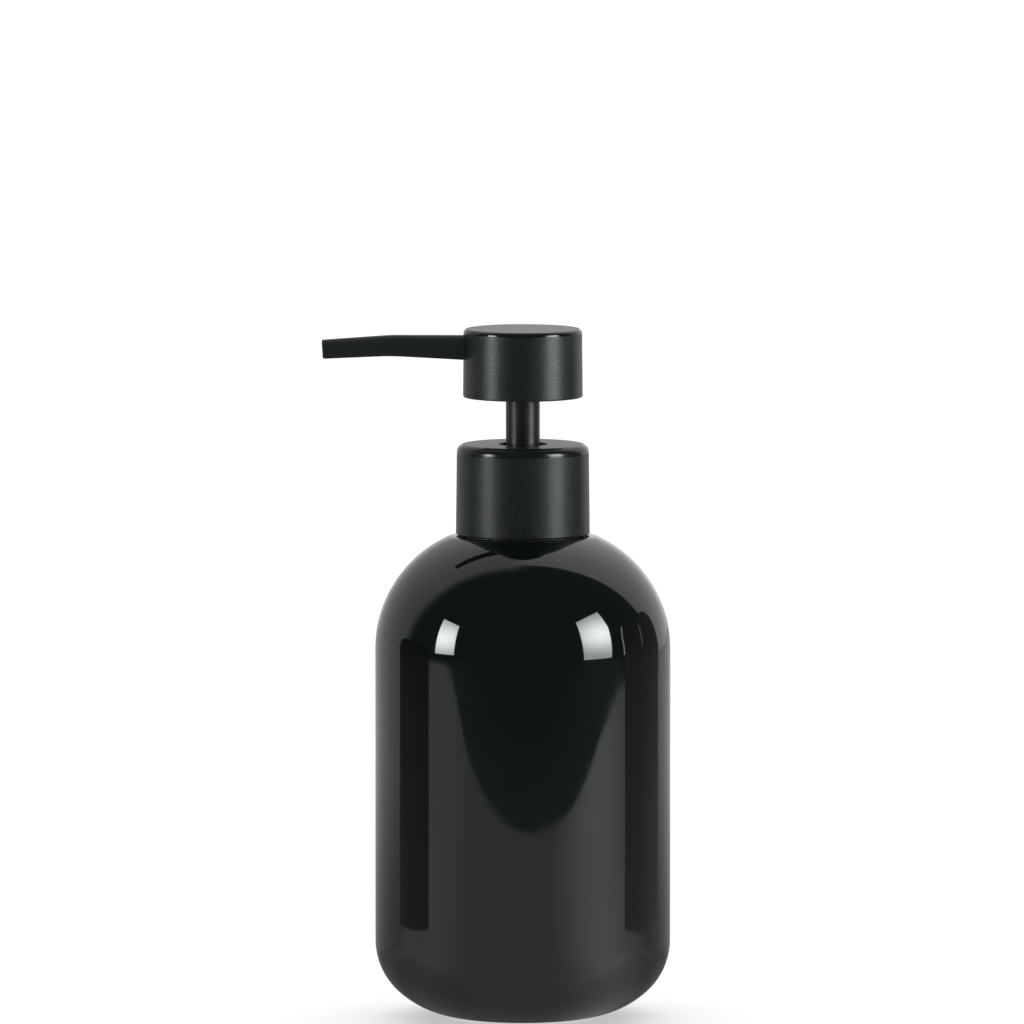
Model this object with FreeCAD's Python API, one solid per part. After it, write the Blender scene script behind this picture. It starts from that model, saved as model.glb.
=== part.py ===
"""Ceramic soap bottle with a screw-on lotion pump.

Millimetres, +Z up. The pump axis is the Z axis, the base pad's underside is z = 0, and the spout points
toward -X. Every piece is written as its own STEP file in the rest position: pump up, collar screwed down.
"""
import FreeCAD, Part
import math
import os

V = FreeCAD.Vector
ORIGIN = V(0, 0, 0)
AXIS_Z = V(0, 0, 1)

# ---- Bottle ---------------------------------------------------------------------------------------------
BOTTLE_R = 37.5             # outer radius of the cylindrical wall
FOOT_Z = 0.5                # underside of the ceramic foot, lifted by the base pad
FOOT_R = 15.0               # flat ring the ceramic would stand on
BASE_RISE = 19.4            # height from the foot to where the wall turns upright
BASE_SIDE_R = 17.5          # rounded base corner, upper arc; the lower arc is flatter and follows from it
SHOULDER_ARC_R = 31.4       # dome between wall and neck land
SHOULDER_Z = 94.15          # height where the wall turns into the shoulder
LAND_Z = 123.2              # flat land round the mouth
LAND_EASE_R = 6.0           # soft turn from the dome into the land
WALL_T = 4.2                # ceramic wall thickness
MOUTH_R = 12.6              # hole in the ceramic
PAD_R = 12.5                # base pad
PAD_T = 1.5
PAD_RECESS_R = 12.8

# ---- Neck insert and closure, 28 mm neck finish ----------------------------------------------------------
NECK_BORE_R = 10.25
NECK_ROOT_R = 12.5          # thread root, outside
NECK_CREST_R = 13.7
NECK_TOP_Z = 137.3
NECK_FLANGE_R = 14.5
NECK_FLANGE_T = 1.2
SPIGOT_LENGTH = 10.0
PITCH = 25.4 / 6.0          # six threads per inch
THREAD_TURNS = 1.25
THREAD_ROOT_W = 2.6         # ridge width at its foot
THREAD_CREST_W = 1.4
NECK_THREAD_Z = 129.2       # middle of the ridge where it starts
CAP_START_TURN = 0.3        # the cap's ridge starts this much of a turn later
CAP_ROOT_R = 14.1           # thread root, inside
CAP_CREST_R = 12.95
CAP_BODY_R = 15.0
CAP_RIB_R = 15.3
CAP_RIBS = 24
CAP_BOTTOM_Z = 125.0
CAP_TOP_Z = 141.8
CAP_PLATE_T = 1.6
CAP_HOLE_R = 10.1
GASKET_T = 1.2
GASKET_IN_R = 9.15
GASKET_OUT_R = 12.7

# ---- Collar cover ----------------------------------------------------------------------------------------
COLLAR_BOTTOM_Z = 123.5
COLLAR_TOP_Z = 146.4
COLLAR_BOTTOM_R = 17.0
COLLAR_TOP_R = 16.75        # slight moulding draft
COLLAR_TOP_ROUND = 2.0
COLLAR_RIM_ROUND = 0.35
COLLAR_IN_R = 15.35
COLLAR_PLATE_T = 1.5
COLLAR_HOLE_R = 6.25

# ---- Pump housing ----------------------------------------------------------------------------------------
HOUSING_FLANGE_R = 12.8
HOUSING_FLANGE_Z = NECK_TOP_Z + GASKET_T
HOUSING_FLANGE_T = 1.5
HOUSING_TOP_Z = 142.0
HOUSING_TOP_R = 9.9
HOUSING_UPPER_R = 9.0
HOUSING_LOWER_R = 8.3
HOUSING_STEP_Z = 119.0
COUNTERBORE_R = 8.0
COUNTERBORE_Z = 133.1
BARREL_R = 7.0
BARREL_FLOOR_Z = 94.0
BALL_CHAMBER_R = 3.0
INLET_THROAT_R = 1.6
INLET_THROAT_Z = 88.0
SOCKET_R = 3.3
SOCKET_OUT_R = 4.6
SOCKET_TOP_Z = 87.0
SOCKET_BOTTOM_Z = 77.0
VENT_R = 0.6
VENT_Z = 130.0

# ---- Small pump parts ------------------------------------------------------------------------------------
TUBE_OUT_R = 3.25
TUBE_IN_R = 2.25
TUBE_TOP_Z = 86.9
TUBE_BOTTOM_Z = 6.5
TUBE_CUT_DEG = 35.0
INLET_BALL_R = 2.4
OUTLET_BALL_R = 1.75
BALL_GAP = 0.03             # clearance between a ball and its cone seat
CAGE_R = 6.9
CAGE_T = 1.2
CAGE_SPIGOT_R = 4.1
CAGE_SPIGOT_H = 3.8
SPRING_R = 5.0              # coil radius to the middle of the wire
SPRING_WIRE_R = 0.45
SPRING_ACTIVE_TURNS = 7.0
SPRING_GAP = 0.05
CHAPLET_RIM_R = 11.6
CHAPLET_SKIRT_R = 7.9
CHAPLET_IN_R = 5.2
CHAPLET_GUIDE_R = 4.4
CHAPLET_TOP_Z = 144.6
SEAL_OUT_R = 6.93
SEAL_BOTTOM_Z = 126.9
SEAL_TOP_Z = 132.7
CORE_FLANGE_Z = 124.6
CORE_FLANGE_T = 1.8
CORE_FLANGE_R = 5.6
CORE_SHANK_R = 4.2
CORE_SPIGOT_Z = 121.6
CORE_TOP_Z = 133.2
CORE_SOCKET_R = 3.2
OUTLET_THROAT_R = 1.1
OUTLET_THROAT_Z = 126.9

# ---- Plunger: stem, head and spout ------------------------------------------------------------------------
STEM_OUT_R = 3.12
STEM_BORE_R = 1.5
STEM_BOTTOM_Z = 128.0
STEM_TOP_Z = 167.5
STEM_CHAMBER_R = 2.2
STEM_CHAMBER_Z = 131.3
SLEEVE_OUT_R = 4.32
SLEEVE_IN_R = 3.2
SLEEVE_BOTTOM_Z = 134.4
SLEEVE_TOP_Z = 163.0
HEAD_BOTTOM_Z = 158.3
HEAD_TOP_Z = 175.7
HEAD_BOTTOM_R = 15.19
HEAD_TOP_R = 15.04
HEAD_TOP_ROUND = 1.0
HEAD_RIM_ROUND = 0.4
HEAD_IN_R = 13.5
HEAD_PLATE_T = 1.8
HUB_R = 6.2
DISC_R = 13.35
DISC_Z = 158.9
DISC_T = 1.2
RIB_TOP_Z = 166.5
RIB_T = 1.0
HEAD_RIBS = 6

SPOUT_ROOT_X = -6.7         # inside the head, beside the hub
SPOUT_BEND_X = -33.5
SPOUT_TIP_X = -51.0
SPOUT_TOP = (173.95, 174.04, 172.83)        # top edge at root, bend and tip
SPOUT_UNDER = (167.5, 168.9, 168.16)        # lower edge at root, bend and tip
SPOUT_HALF_W = (3.7, 3.0)                   # half width at root and tip
SPOUT_BEND_R = 60.0
SPOUT_EDGE_R = 0.85         # long lower edges
SPOUT_CROWN_R = 2.4         # long upper edges, which crown the top softly
SPOUT_SPLIT_Z = 171.0       # height between the upper and the lower edges
SPOUT_TIP_ROUND = 0.45
SPOUT_SLOT_GAP = 0.12       # between the spout and its slot in the head
CHANNEL_Z = (171.2, 171.5, 170.5)           # channel axis at hub, bend and tip
LINER_OUT_R = 1.5
LINER_IN_R = 1.05
LINER_ROOT_X = -4.0
LINER_TIP_X = -50.4

os.makedirs("parts", exist_ok=True)


# ---- Outline helpers --------------------------------------------------------------------------------------
def corner_arc(before, corner, after, radius):
    """Tangent arc that rounds the corner between two straight runs: its start, middle and end."""
    to_before = (before - corner).normalize()
    to_after = (after - corner).normalize()
    half = math.acos(max(-1.0, min(1.0, to_before.dot(to_after)))) / 2.0
    reach = radius / math.tan(half)
    bisector = (to_before + to_after).normalize()
    centre = corner + bisector * (radius / math.sin(half))
    return corner + to_before * reach, centre - bisector * radius, corner + to_after * reach


def rounded_wire(corners, closed=True):
    """Wire through (x, z, rounding radius) corners in the XZ plane, each corner an arc if its radius is set."""
    points = [V(c[0], 0, c[1]) for c in corners]
    count = len(points)
    stops = []
    for index, corner in enumerate(corners):
        radius = corner[2] if len(corner) > 2 else 0.0
        if radius and (closed or 0 < index < count - 1):
            stops.append(corner_arc(points[index - 1], points[index], points[(index + 1) % count], radius))
        else:
            stops.append((points[index],))
    edges = []
    for index, stop in enumerate(stops):
        if len(stop) == 3:
            edges.append(Part.Arc(*stop).toShape())
        if closed or index < count - 1:
            edges.append(Part.LineSegment(stop[-1], stops[(index + 1) % count][0]).toShape())
    return Part.Wire(edges)


def turned(corners):
    """Solid of revolution about Z from (radius, z, rounding) corners."""
    return Part.Face(rounded_wire(corners)).revolve(ORIGIN, AXIS_Z, 360)


def on_arc(centre_r, centre_z, radius, degrees):
    """Point on a circle in the XZ plane."""
    angle = math.radians(degrees)
    return V(centre_r + radius * math.cos(angle), 0, centre_z + radius * math.sin(angle))


def round_arc(centre_r, centre_z, radius, start, end):
    """Arc edge in the XZ plane between two angles in degrees."""
    stations = (start, (start + end) / 2.0, end)
    return Part.Arc(*[on_arc(centre_r, centre_z, radius, a) for a in stations]).toShape()


def line(start, end):
    return Part.LineSegment(start, end).toShape()


def tube(inner, outer, bottom, top):
    """Plain ring or tube about Z."""
    return turned([(inner, bottom), (outer, bottom), (outer, top), (inner, top)])


def rod_x(radius, x_from, x_to, z):
    """Cylinder along X."""
    return Part.makeCylinder(radius, x_to - x_from, V(x_from, 0, z), V(1, 0, 0))


def save(shape, name):
    solid = shape.Solids[0] if len(shape.Solids) == 1 else shape
    if len(shape.Solids) != 1 or not solid.isValid():
        raise RuntimeError("%s: %d solids, valid %s" % (name, len(shape.Solids), shape.isValid()))
    solid.exportStep("parts/%s.step" % name)
    print("%-14s %9.1f mm3" % (name, solid.Volume))


# ---- Bottle ------------------------------------------------------------------------------------------------
def bottle():
    """Jar with one wall thickness all round, a recess under the foot and a flat land round the mouth."""
    side_r = BOTTLE_R - BASE_SIDE_R
    side_z = FOOT_Z + BASE_RISE
    inset = side_r - FOOT_R
    under_arc = (inset ** 2 + BASE_RISE ** 2 - BASE_SIDE_R ** 2) / (2 * (BASE_RISE - BASE_SIDE_R))
    under_z = FOOT_Z + under_arc
    turn_deg = math.degrees(math.atan2(side_z - under_z, inset))
    dome_r = BOTTLE_R - SHOULDER_ARC_R
    ease_z = LAND_Z - LAND_EASE_R
    ease_rise = ease_z - SHOULDER_Z
    ease_run = math.sqrt((SHOULDER_ARC_R - LAND_EASE_R) ** 2 - ease_rise ** 2)
    ease_deg = math.degrees(math.atan2(ease_rise, ease_run))
    inner_dome = SHOULDER_ARC_R - WALL_T
    mouth_deg = math.degrees(math.acos((MOUTH_R - dome_r) / inner_dome))

    foot_outer = on_arc(FOOT_R, under_z, under_arc, -90)
    wall_low = on_arc(side_r, side_z, BASE_SIDE_R, 0)
    wall_high = on_arc(dome_r, SHOULDER_Z, SHOULDER_ARC_R, 0)
    land_outer = V(dome_r + ease_run, 0, LAND_Z)
    land_inner = V(MOUTH_R, 0, LAND_Z)
    mouth_low = on_arc(dome_r, SHOULDER_Z, inner_dome, mouth_deg)
    inside_high = on_arc(dome_r, SHOULDER_Z, inner_dome, 0)
    inside_low = on_arc(side_r, side_z, BASE_SIDE_R - WALL_T, 0)
    floor_outer = on_arc(FOOT_R, under_z, under_arc - WALL_T, -90)
    floor_middle = V(0, 0, floor_outer.z)
    recess_middle = V(0, 0, PAD_T)
    recess_corner = V(PAD_RECESS_R, 0, PAD_T)
    foot_inner = V(PAD_RECESS_R, 0, FOOT_Z)
    edges = [
        line(foot_inner, foot_outer),
        round_arc(FOOT_R, under_z, under_arc, -90, turn_deg),
        round_arc(side_r, side_z, BASE_SIDE_R, turn_deg, 0),
        line(wall_low, wall_high),
        round_arc(dome_r, SHOULDER_Z, SHOULDER_ARC_R, 0, ease_deg),
        round_arc(dome_r + ease_run, ease_z, LAND_EASE_R, ease_deg, 90),
        line(land_outer, land_inner),
        line(land_inner, mouth_low),
        round_arc(dome_r, SHOULDER_Z, inner_dome, mouth_deg, 0),
        line(inside_high, inside_low),
        round_arc(side_r, side_z, BASE_SIDE_R - WALL_T, 0, turn_deg),
        round_arc(FOOT_R, under_z, under_arc - WALL_T, turn_deg, -90),
        line(floor_outer, floor_middle),
        line(floor_middle, recess_middle),
        line(recess_middle, recess_corner),
        line(recess_corner, foot_inner),
    ]
    return Part.Face(Part.Wire(edges)).revolve(ORIGIN, AXIS_Z, 360)


def base_pad():
    return turned([(0, 0), (PAD_R, 0, 0.3), (PAD_R, PAD_T), (0, PAD_T)])


# ---- Screw neck and closure --------------------------------------------------------------------------------
def thread_ridge(root_r, crest_r, start_z, start_turn, bury):
    """Helical ridge of trapezoid section, standing out or in from root_r and buried a little in its wall."""
    side = 1.0 if crest_r > root_r else -1.0
    foot_r = root_r - side * bury
    slope = (THREAD_ROOT_W - THREAD_CREST_W) / 2.0 / abs(crest_r - root_r)
    foot_half = THREAD_ROOT_W / 2.0 + slope * bury
    crest_half = THREAD_CREST_W / 2.0
    section = Part.makePolygon([
        V(foot_r, 0, -foot_half), V(crest_r, 0, -crest_half),
        V(crest_r, 0, crest_half), V(foot_r, 0, foot_half), V(foot_r, 0, -foot_half)])
    spine = Part.makeHelix(PITCH, PITCH * THREAD_TURNS, root_r)
    ridge = Part.Wire(spine.Edges).makePipeShell([section], True, True)
    ridge.rotate(ORIGIN, AXIS_Z, 360.0 * start_turn)
    ridge.translate(V(0, 0, start_z))
    return ridge


def neck_insert():
    """Threaded neck with a flange on the ceramic land and a spigot glued in the mouth."""
    spigot_z = LAND_Z - SPIGOT_LENGTH
    flange_z = LAND_Z + NECK_FLANGE_T
    body = turned([
        (NECK_BORE_R, spigot_z), (NECK_ROOT_R, spigot_z), (NECK_ROOT_R, LAND_Z), (NECK_FLANGE_R, LAND_Z),
        (NECK_FLANGE_R, flange_z, 0.3), (NECK_ROOT_R, flange_z), (NECK_ROOT_R, NECK_TOP_Z, 0.4),
        (NECK_BORE_R, NECK_TOP_Z, 0.3)])
    return body.fuse(thread_ridge(NECK_ROOT_R, NECK_CREST_R, NECK_THREAD_Z, 0.0, 0.4))


def threaded_cap():
    """Screw closure: inside ridge half a pitch below the neck's, ribs outside, hole in the top plate."""
    body = turned([
        (CAP_ROOT_R, CAP_BOTTOM_Z), (CAP_BODY_R, CAP_BOTTOM_Z, 0.3), (CAP_BODY_R, CAP_TOP_Z, 0.5),
        (CAP_HOLE_R, CAP_TOP_Z), (CAP_HOLE_R, CAP_TOP_Z - CAP_PLATE_T), (CAP_ROOT_R, CAP_TOP_Z - CAP_PLATE_T)])
    start_z = NECK_THREAD_Z + PITCH * (CAP_START_TURN - 0.5)
    body = body.fuse(thread_ridge(CAP_ROOT_R, CAP_CREST_R, start_z, CAP_START_TURN, 0.4))
    rib_width = 1.2
    rib_from = CAP_BOTTOM_Z + 0.8
    rib_height = CAP_TOP_Z - 1.0 - rib_from
    rib_tube = tube(CAP_BODY_R - 0.3, CAP_RIB_R, rib_from, rib_from + rib_height)
    for index in range(CAP_RIBS // 2):
        bar = Part.makeBox(2 * CAP_RIB_R + 2, rib_width, rib_height, V(-CAP_RIB_R - 1, -rib_width / 2, rib_from))
        bar.rotate(ORIGIN, AXIS_Z, 360.0 * index / CAP_RIBS)
        body = body.fuse(bar.common(rib_tube))
    return body


def collar_shell():
    """Plain tall cover over the closure, open below, with a round hole for the stem."""
    return turned([
        (COLLAR_IN_R, COLLAR_BOTTOM_Z, 0.2), (COLLAR_BOTTOM_R, COLLAR_BOTTOM_Z, COLLAR_RIM_ROUND),
        (COLLAR_TOP_R, COLLAR_TOP_Z, COLLAR_TOP_ROUND), (COLLAR_HOLE_R, COLLAR_TOP_Z, 0.4),
        (COLLAR_HOLE_R, COLLAR_TOP_Z - COLLAR_PLATE_T), (COLLAR_IN_R, COLLAR_TOP_Z - COLLAR_PLATE_T, 0.6)])


def neck_gasket():
    return tube(GASKET_IN_R, GASKET_OUT_R, NECK_TOP_Z, HOUSING_FLANGE_Z)


# ---- Pump core ---------------------------------------------------------------------------------------------
def pump_housing():
    """Flanged barrel that narrows to the inlet seat and the dip tube socket."""
    flange_top = HOUSING_FLANGE_Z + HOUSING_FLANGE_T
    cone_top_z = INLET_THROAT_Z + BALL_CHAMBER_R - INLET_THROAT_R
    body = turned([
        (HOUSING_TOP_R, flange_top), (HOUSING_TOP_R, HOUSING_TOP_Z, 0.2), (COUNTERBORE_R, HOUSING_TOP_Z),
        (COUNTERBORE_R, COUNTERBORE_Z), (BARREL_R, COUNTERBORE_Z), (BARREL_R, BARREL_FLOOR_Z),
        (BALL_CHAMBER_R, BARREL_FLOOR_Z), (BALL_CHAMBER_R, cone_top_z), (INLET_THROAT_R, INLET_THROAT_Z),
        (INLET_THROAT_R, SOCKET_TOP_Z), (SOCKET_R, SOCKET_TOP_Z), (SOCKET_R, SOCKET_BOTTOM_Z),
        (SOCKET_OUT_R, SOCKET_BOTTOM_Z, 0.4), (SOCKET_OUT_R, 88.0, 1.5), (HOUSING_LOWER_R, 92.0, 1.5),
        (HOUSING_LOWER_R, HOUSING_STEP_Z - 1.4, 0.5), (HOUSING_UPPER_R, HOUSING_STEP_Z, 0.5),
        (HOUSING_UPPER_R, HOUSING_FLANGE_Z), (HOUSING_FLANGE_R, HOUSING_FLANGE_Z),
        (HOUSING_FLANGE_R, flange_top, 0.3)])
    vent = Part.makeCylinder(VENT_R, 6.0, V(0, BARREL_R - 1.5, VENT_Z), V(0, 1, 0))
    return body.cut(vent)


def chaplet():
    """Stem guide: a skirt in the housing's counterbore, a rim over the closure and a narrow guide hole."""
    rim_z = HOUSING_TOP_Z
    return turned([
        (CHAPLET_IN_R, COUNTERBORE_Z), (CHAPLET_SKIRT_R, COUNTERBORE_Z), (CHAPLET_SKIRT_R, rim_z),
        (CHAPLET_RIM_R, rim_z), (CHAPLET_RIM_R, rim_z + 1.2, 0.4), (8.4, CHAPLET_TOP_Z, 0.5),
        (CHAPLET_GUIDE_R, CHAPLET_TOP_Z), (CHAPLET_GUIDE_R, 138.6), (CHAPLET_IN_R, 137.6)])


def dip_tube():
    """Suction tube with a slanted lower end."""
    body = tube(TUBE_IN_R, TUBE_OUT_R, TUBE_BOTTOM_Z, TUBE_TOP_Z)
    wedge = Part.makeBox(20, 20, 20, V(-10, -10, -20))
    wedge.rotate(ORIGIN, V(0, 1, 0), TUBE_CUT_DEG)
    rise = TUBE_OUT_R * math.tan(math.radians(TUBE_CUT_DEG))
    wedge.translate(V(0, 0, TUBE_BOTTOM_Z + rise))
    return body.cut(wedge)


def seated_ball(radius, throat_z, throat_r):
    """Ball resting on a 45 degree cone that opens upward from the throat."""
    contact_r = radius * math.sin(math.radians(45))
    centre_z = throat_z + (contact_r - throat_r) + contact_r + BALL_GAP * math.sqrt(2)
    return Part.makeSphere(radius, V(0, 0, centre_z))


def ball_cage():
    """Slotted retainer over the inlet ball, with a spigot that centres the spring."""
    floor_z = BARREL_FLOOR_Z
    top_z = floor_z + CAGE_T
    body = turned([
        (1.0, floor_z), (CAGE_R, floor_z), (CAGE_R, top_z), (CAGE_SPIGOT_R, top_z),
        (CAGE_SPIGOT_R, top_z + CAGE_SPIGOT_H, 0.6), (CAGE_SPIGOT_R - 1.1, top_z + CAGE_SPIGOT_H),
        (CAGE_SPIGOT_R - 1.1, top_z), (1.0, top_z)])
    for index in range(4):
        slot = Part.makeBox(2.2, 1.0, 3.0, V(0.8, -0.5, floor_z - 1))
        slot.rotate(ORIGIN, AXIS_Z, 90.0 * index)
        body = body.cut(slot)
    return body


def return_spring():
    """Compression spring, closed coils at both ends, wire laid as one smooth rising curve."""
    bottom = BARREL_FLOOR_Z + CAGE_T + SPRING_WIRE_R + SPRING_GAP
    top = CORE_FLANGE_Z - SPRING_WIRE_R - SPRING_GAP
    closed_rise = 2 * SPRING_WIRE_R + 0.06
    active_rise = (top - bottom - 2 * closed_rise) / SPRING_ACTIVE_TURNS
    turns = SPRING_ACTIVE_TURNS + 2.0
    steps_per_turn = 16
    blend_turns = 0.5

    def rise_at(turn):
        into = min(turn, turns - turn)
        share = min(1.0, max(0.0, (into - 1.0 + blend_turns / 2) / blend_turns))
        smooth = share * share * (3 - 2 * share)
        return closed_rise + (active_rise - closed_rise) * smooth

    points = []
    height = 0.0
    for step in range(int(turns * steps_per_turn) + 1):
        angle = 2 * math.pi * step / steps_per_turn
        points.append(V(SPRING_R * math.cos(angle), SPRING_R * math.sin(angle), height))
        height += rise_at((step + 0.5) / steps_per_turn) / steps_per_turn
    stretch = (top - bottom) / points[-1].z
    points = [V(p.x, p.y, bottom + p.z * stretch) for p in points]
    curve = Part.BSplineCurve()
    curve.interpolate(points)
    spine = Part.Wire([curve.toShape()])
    start, heading = curve.value(curve.FirstParameter), curve.tangent(curve.FirstParameter)[0]
    section = Part.Wire([Part.makeCircle(SPRING_WIRE_R, start, heading)])
    return spine.makePipeShell([section], True, True)


def piston_seal():
    """Double-lipped ring on the piston core."""
    middle = (SEAL_BOTTOM_Z + SEAL_TOP_Z) / 2
    waist_r = SEAL_OUT_R - 0.9
    return turned([
        (CORE_SHANK_R, middle - 1.1), (CORE_SHANK_R + 1.1, middle - 1.1), (SEAL_OUT_R - 0.7, SEAL_BOTTOM_Z),
        (SEAL_OUT_R, SEAL_BOTTOM_Z), (SEAL_OUT_R, SEAL_BOTTOM_Z + 1.0), (waist_r, middle - 0.5),
        (waist_r, middle + 0.5), (SEAL_OUT_R, SEAL_TOP_Z - 1.0), (SEAL_OUT_R, SEAL_TOP_Z),
        (SEAL_OUT_R - 0.7, SEAL_TOP_Z), (CORE_SHANK_R + 1.1, middle + 1.1), (CORE_SHANK_R, middle + 1.1)])


def piston_core():
    """Piston rod: spring shoulder below, seat for the outlet ball, socket for the stem above."""
    flange_top = CORE_FLANGE_Z + CORE_FLANGE_T
    cone_top_z = OUTLET_THROAT_Z + 1.0
    cone_top_r = OUTLET_THROAT_R + 1.0
    return turned([
        (OUTLET_THROAT_R, CORE_SPIGOT_Z), (CORE_SHANK_R - 0.2, CORE_SPIGOT_Z, 0.4),
        (CORE_SHANK_R - 0.2, CORE_FLANGE_Z), (CORE_FLANGE_R, CORE_FLANGE_Z), (CORE_FLANGE_R, flange_top),
        (CORE_SHANK_R, flange_top), (CORE_SHANK_R, CORE_TOP_Z), (CORE_SOCKET_R, CORE_TOP_Z),
        (CORE_SOCKET_R, cone_top_z), (cone_top_r, cone_top_z), (OUTLET_THROAT_R, OUTLET_THROAT_Z)])


# ---- Plunger -----------------------------------------------------------------------------------------------
def pump_stem():
    """Inner tube with a ball chamber at its foot and three flow notches in the step above the ball."""
    body = turned([
        (STEM_CHAMBER_R, STEM_BOTTOM_Z), (STEM_OUT_R, STEM_BOTTOM_Z), (STEM_OUT_R, STEM_TOP_Z),
        (STEM_BORE_R, STEM_TOP_Z), (STEM_BORE_R, STEM_CHAMBER_Z), (STEM_CHAMBER_R, STEM_CHAMBER_Z)])
    for index in range(3):
        notch = Part.makeBox(1.4, 0.7, 1.4, V(0.8, -0.35, STEM_CHAMBER_Z - 0.2))
        notch.rotate(ORIGIN, AXIS_Z, 120.0 * index)
        body = body.cut(notch)
    return body


def stem_sleeve():
    return turned([
        (SLEEVE_IN_R, SLEEVE_BOTTOM_Z), (SLEEVE_OUT_R, SLEEVE_BOTTOM_Z, 0.3), (SLEEVE_OUT_R, SLEEVE_TOP_Z),
        (SLEEVE_IN_R, SLEEVE_TOP_Z)])


def long_edges(bar, upper):
    """Edges that run along the spout, on its upper or its lower side."""
    found = []
    for edge in bar.Edges:
        box = edge.BoundBox
        middle = edge.CenterOfMass
        lengthwise = box.XLength > 1.0 and box.YLength < 1.0 and abs(middle.y) > 2.0
        if lengthwise and (middle.z > SPOUT_SPLIT_Z) == upper:
            found.append(edge)
    return found


def spout_bar(extra, root_x, tip_x):
    """Tapering bar along -X, level to a soft bend and then sloping down; extra grows it all round."""
    top_root, top_bend, top_tip = [z + extra for z in SPOUT_TOP]
    low_root, low_bend, low_tip = [z - extra for z in SPOUT_UNDER]
    lean = (SPOUT_TOP[1] - SPOUT_TOP[2]) / (SPOUT_BEND_X - SPOUT_TIP_X)
    tip_low_x = tip_x + lean * (top_tip - low_tip)
    side = rounded_wire([
        (root_x, top_root), (SPOUT_BEND_X, top_bend, SPOUT_BEND_R), (tip_x, top_tip),
        (tip_low_x, low_tip), (SPOUT_BEND_X, low_bend, SPOUT_BEND_R), (root_x, low_root)])
    half_root, half_tip = [w + extra for w in SPOUT_HALF_W]
    slab = Part.Face(side).extrude(V(0, 20, 0))
    slab.translate(V(0, -10, 0))
    plan = Part.makePolygon([
        V(SPOUT_ROOT_X, -half_root, 160), V(SPOUT_TIP_X - 1, -half_tip, 160), V(SPOUT_TIP_X - 1, half_tip, 160),
        V(SPOUT_ROOT_X, half_root, 160), V(SPOUT_ROOT_X, -half_root, 160)])
    bar = slab.common(Part.Face(plan).extrude(V(0, 0, 20)))
    bar = bar.makeFillet(SPOUT_EDGE_R + extra, long_edges(bar, False))
    return bar.makeFillet(SPOUT_CROWN_R + extra, long_edges(bar, True))


def spout_channel(radius, tip_x):
    """Round channel from the hub along the spout's bend, ending square at tip_x."""
    hub_z, bend_z, tip_z = CHANNEL_Z
    slope = (tip_z - bend_z) / (SPOUT_TIP_X - SPOUT_BEND_X)
    end_z = bend_z + slope * (tip_x - SPOUT_BEND_X)
    path = rounded_wire(
        [(LINER_ROOT_X, hub_z), (SPOUT_BEND_X, bend_z, SPOUT_BEND_R), (tip_x, end_z)], closed=False)
    heading = V(SPOUT_BEND_X - LINER_ROOT_X, 0, bend_z - hub_z)
    section = Part.Wire([Part.makeCircle(radius, V(LINER_ROOT_X, 0, hub_z), heading)])
    return path.makePipeShell([section], True, False)


def spout_shell():
    """Spout cover with softened edges, bored for the nozzle tube."""
    bar = spout_bar(0.0, SPOUT_ROOT_X, SPOUT_TIP_X)
    tip_edges = [e for e in bar.Edges if e.BoundBox.XMax < SPOUT_TIP_X + 0.8]
    bar = bar.makeFillet(SPOUT_TIP_ROUND, tip_edges)
    return bar.cut(spout_channel(LINER_OUT_R, SPOUT_TIP_X - 2.0))


def spout_tube():
    """Nozzle tube from the hub to just inside the spout's tip."""
    return spout_channel(LINER_OUT_R, LINER_TIP_X).cut(spout_channel(LINER_IN_R, LINER_TIP_X))


def head_shell():
    """Upturned cup with a slot on one side for the spout."""
    cup = turned([
        (HEAD_IN_R, HEAD_BOTTOM_Z), (HEAD_BOTTOM_R, HEAD_BOTTOM_Z, HEAD_RIM_ROUND),
        (HEAD_TOP_R, HEAD_TOP_Z, HEAD_TOP_ROUND), (0, HEAD_TOP_Z), (0, HEAD_TOP_Z - HEAD_PLATE_T),
        (HEAD_IN_R, HEAD_TOP_Z - HEAD_PLATE_T, 0.6)])
    slot = spout_bar(SPOUT_SLOT_GAP, SPOUT_ROOT_X, SPOUT_TIP_X)
    return cup.cut(slot)


def head_core():
    """Closing disc, hub with the stem and sleeve sockets, and ribs out to the shell."""
    disc = tube(SLEEVE_OUT_R, DISC_R, DISC_Z, DISC_Z + DISC_T)
    hub_top = HEAD_TOP_Z - HEAD_PLATE_T - 0.1
    hub = turned([
        (SLEEVE_OUT_R, DISC_Z), (HUB_R, DISC_Z), (HUB_R, hub_top), (0, hub_top), (0, CHANNEL_Z[0] + 1.0),
        (STEM_BORE_R, CHANNEL_Z[0] + 1.0), (STEM_BORE_R, STEM_TOP_Z), (STEM_OUT_R, STEM_TOP_Z),
        (STEM_OUT_R, SLEEVE_TOP_Z), (SLEEVE_OUT_R, SLEEVE_TOP_Z)])
    body = disc.fuse(hub)
    for index in range(HEAD_RIBS):
        rib = Part.makeBox(DISC_R - HUB_R + 0.3, RIB_T, RIB_TOP_Z - DISC_Z, V(HUB_R - 0.4, -RIB_T / 2, DISC_Z))
        rib.rotate(ORIGIN, AXIS_Z, 360.0 * (index + 0.5) / HEAD_RIBS)
        body = body.fuse(rib)
    body = body.cut(spout_channel(LINER_OUT_R, LINER_TIP_X))
    return body.cut(rod_x(LINER_IN_R, LINER_ROOT_X - 0.1, 0, CHANNEL_Z[0]))


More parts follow.
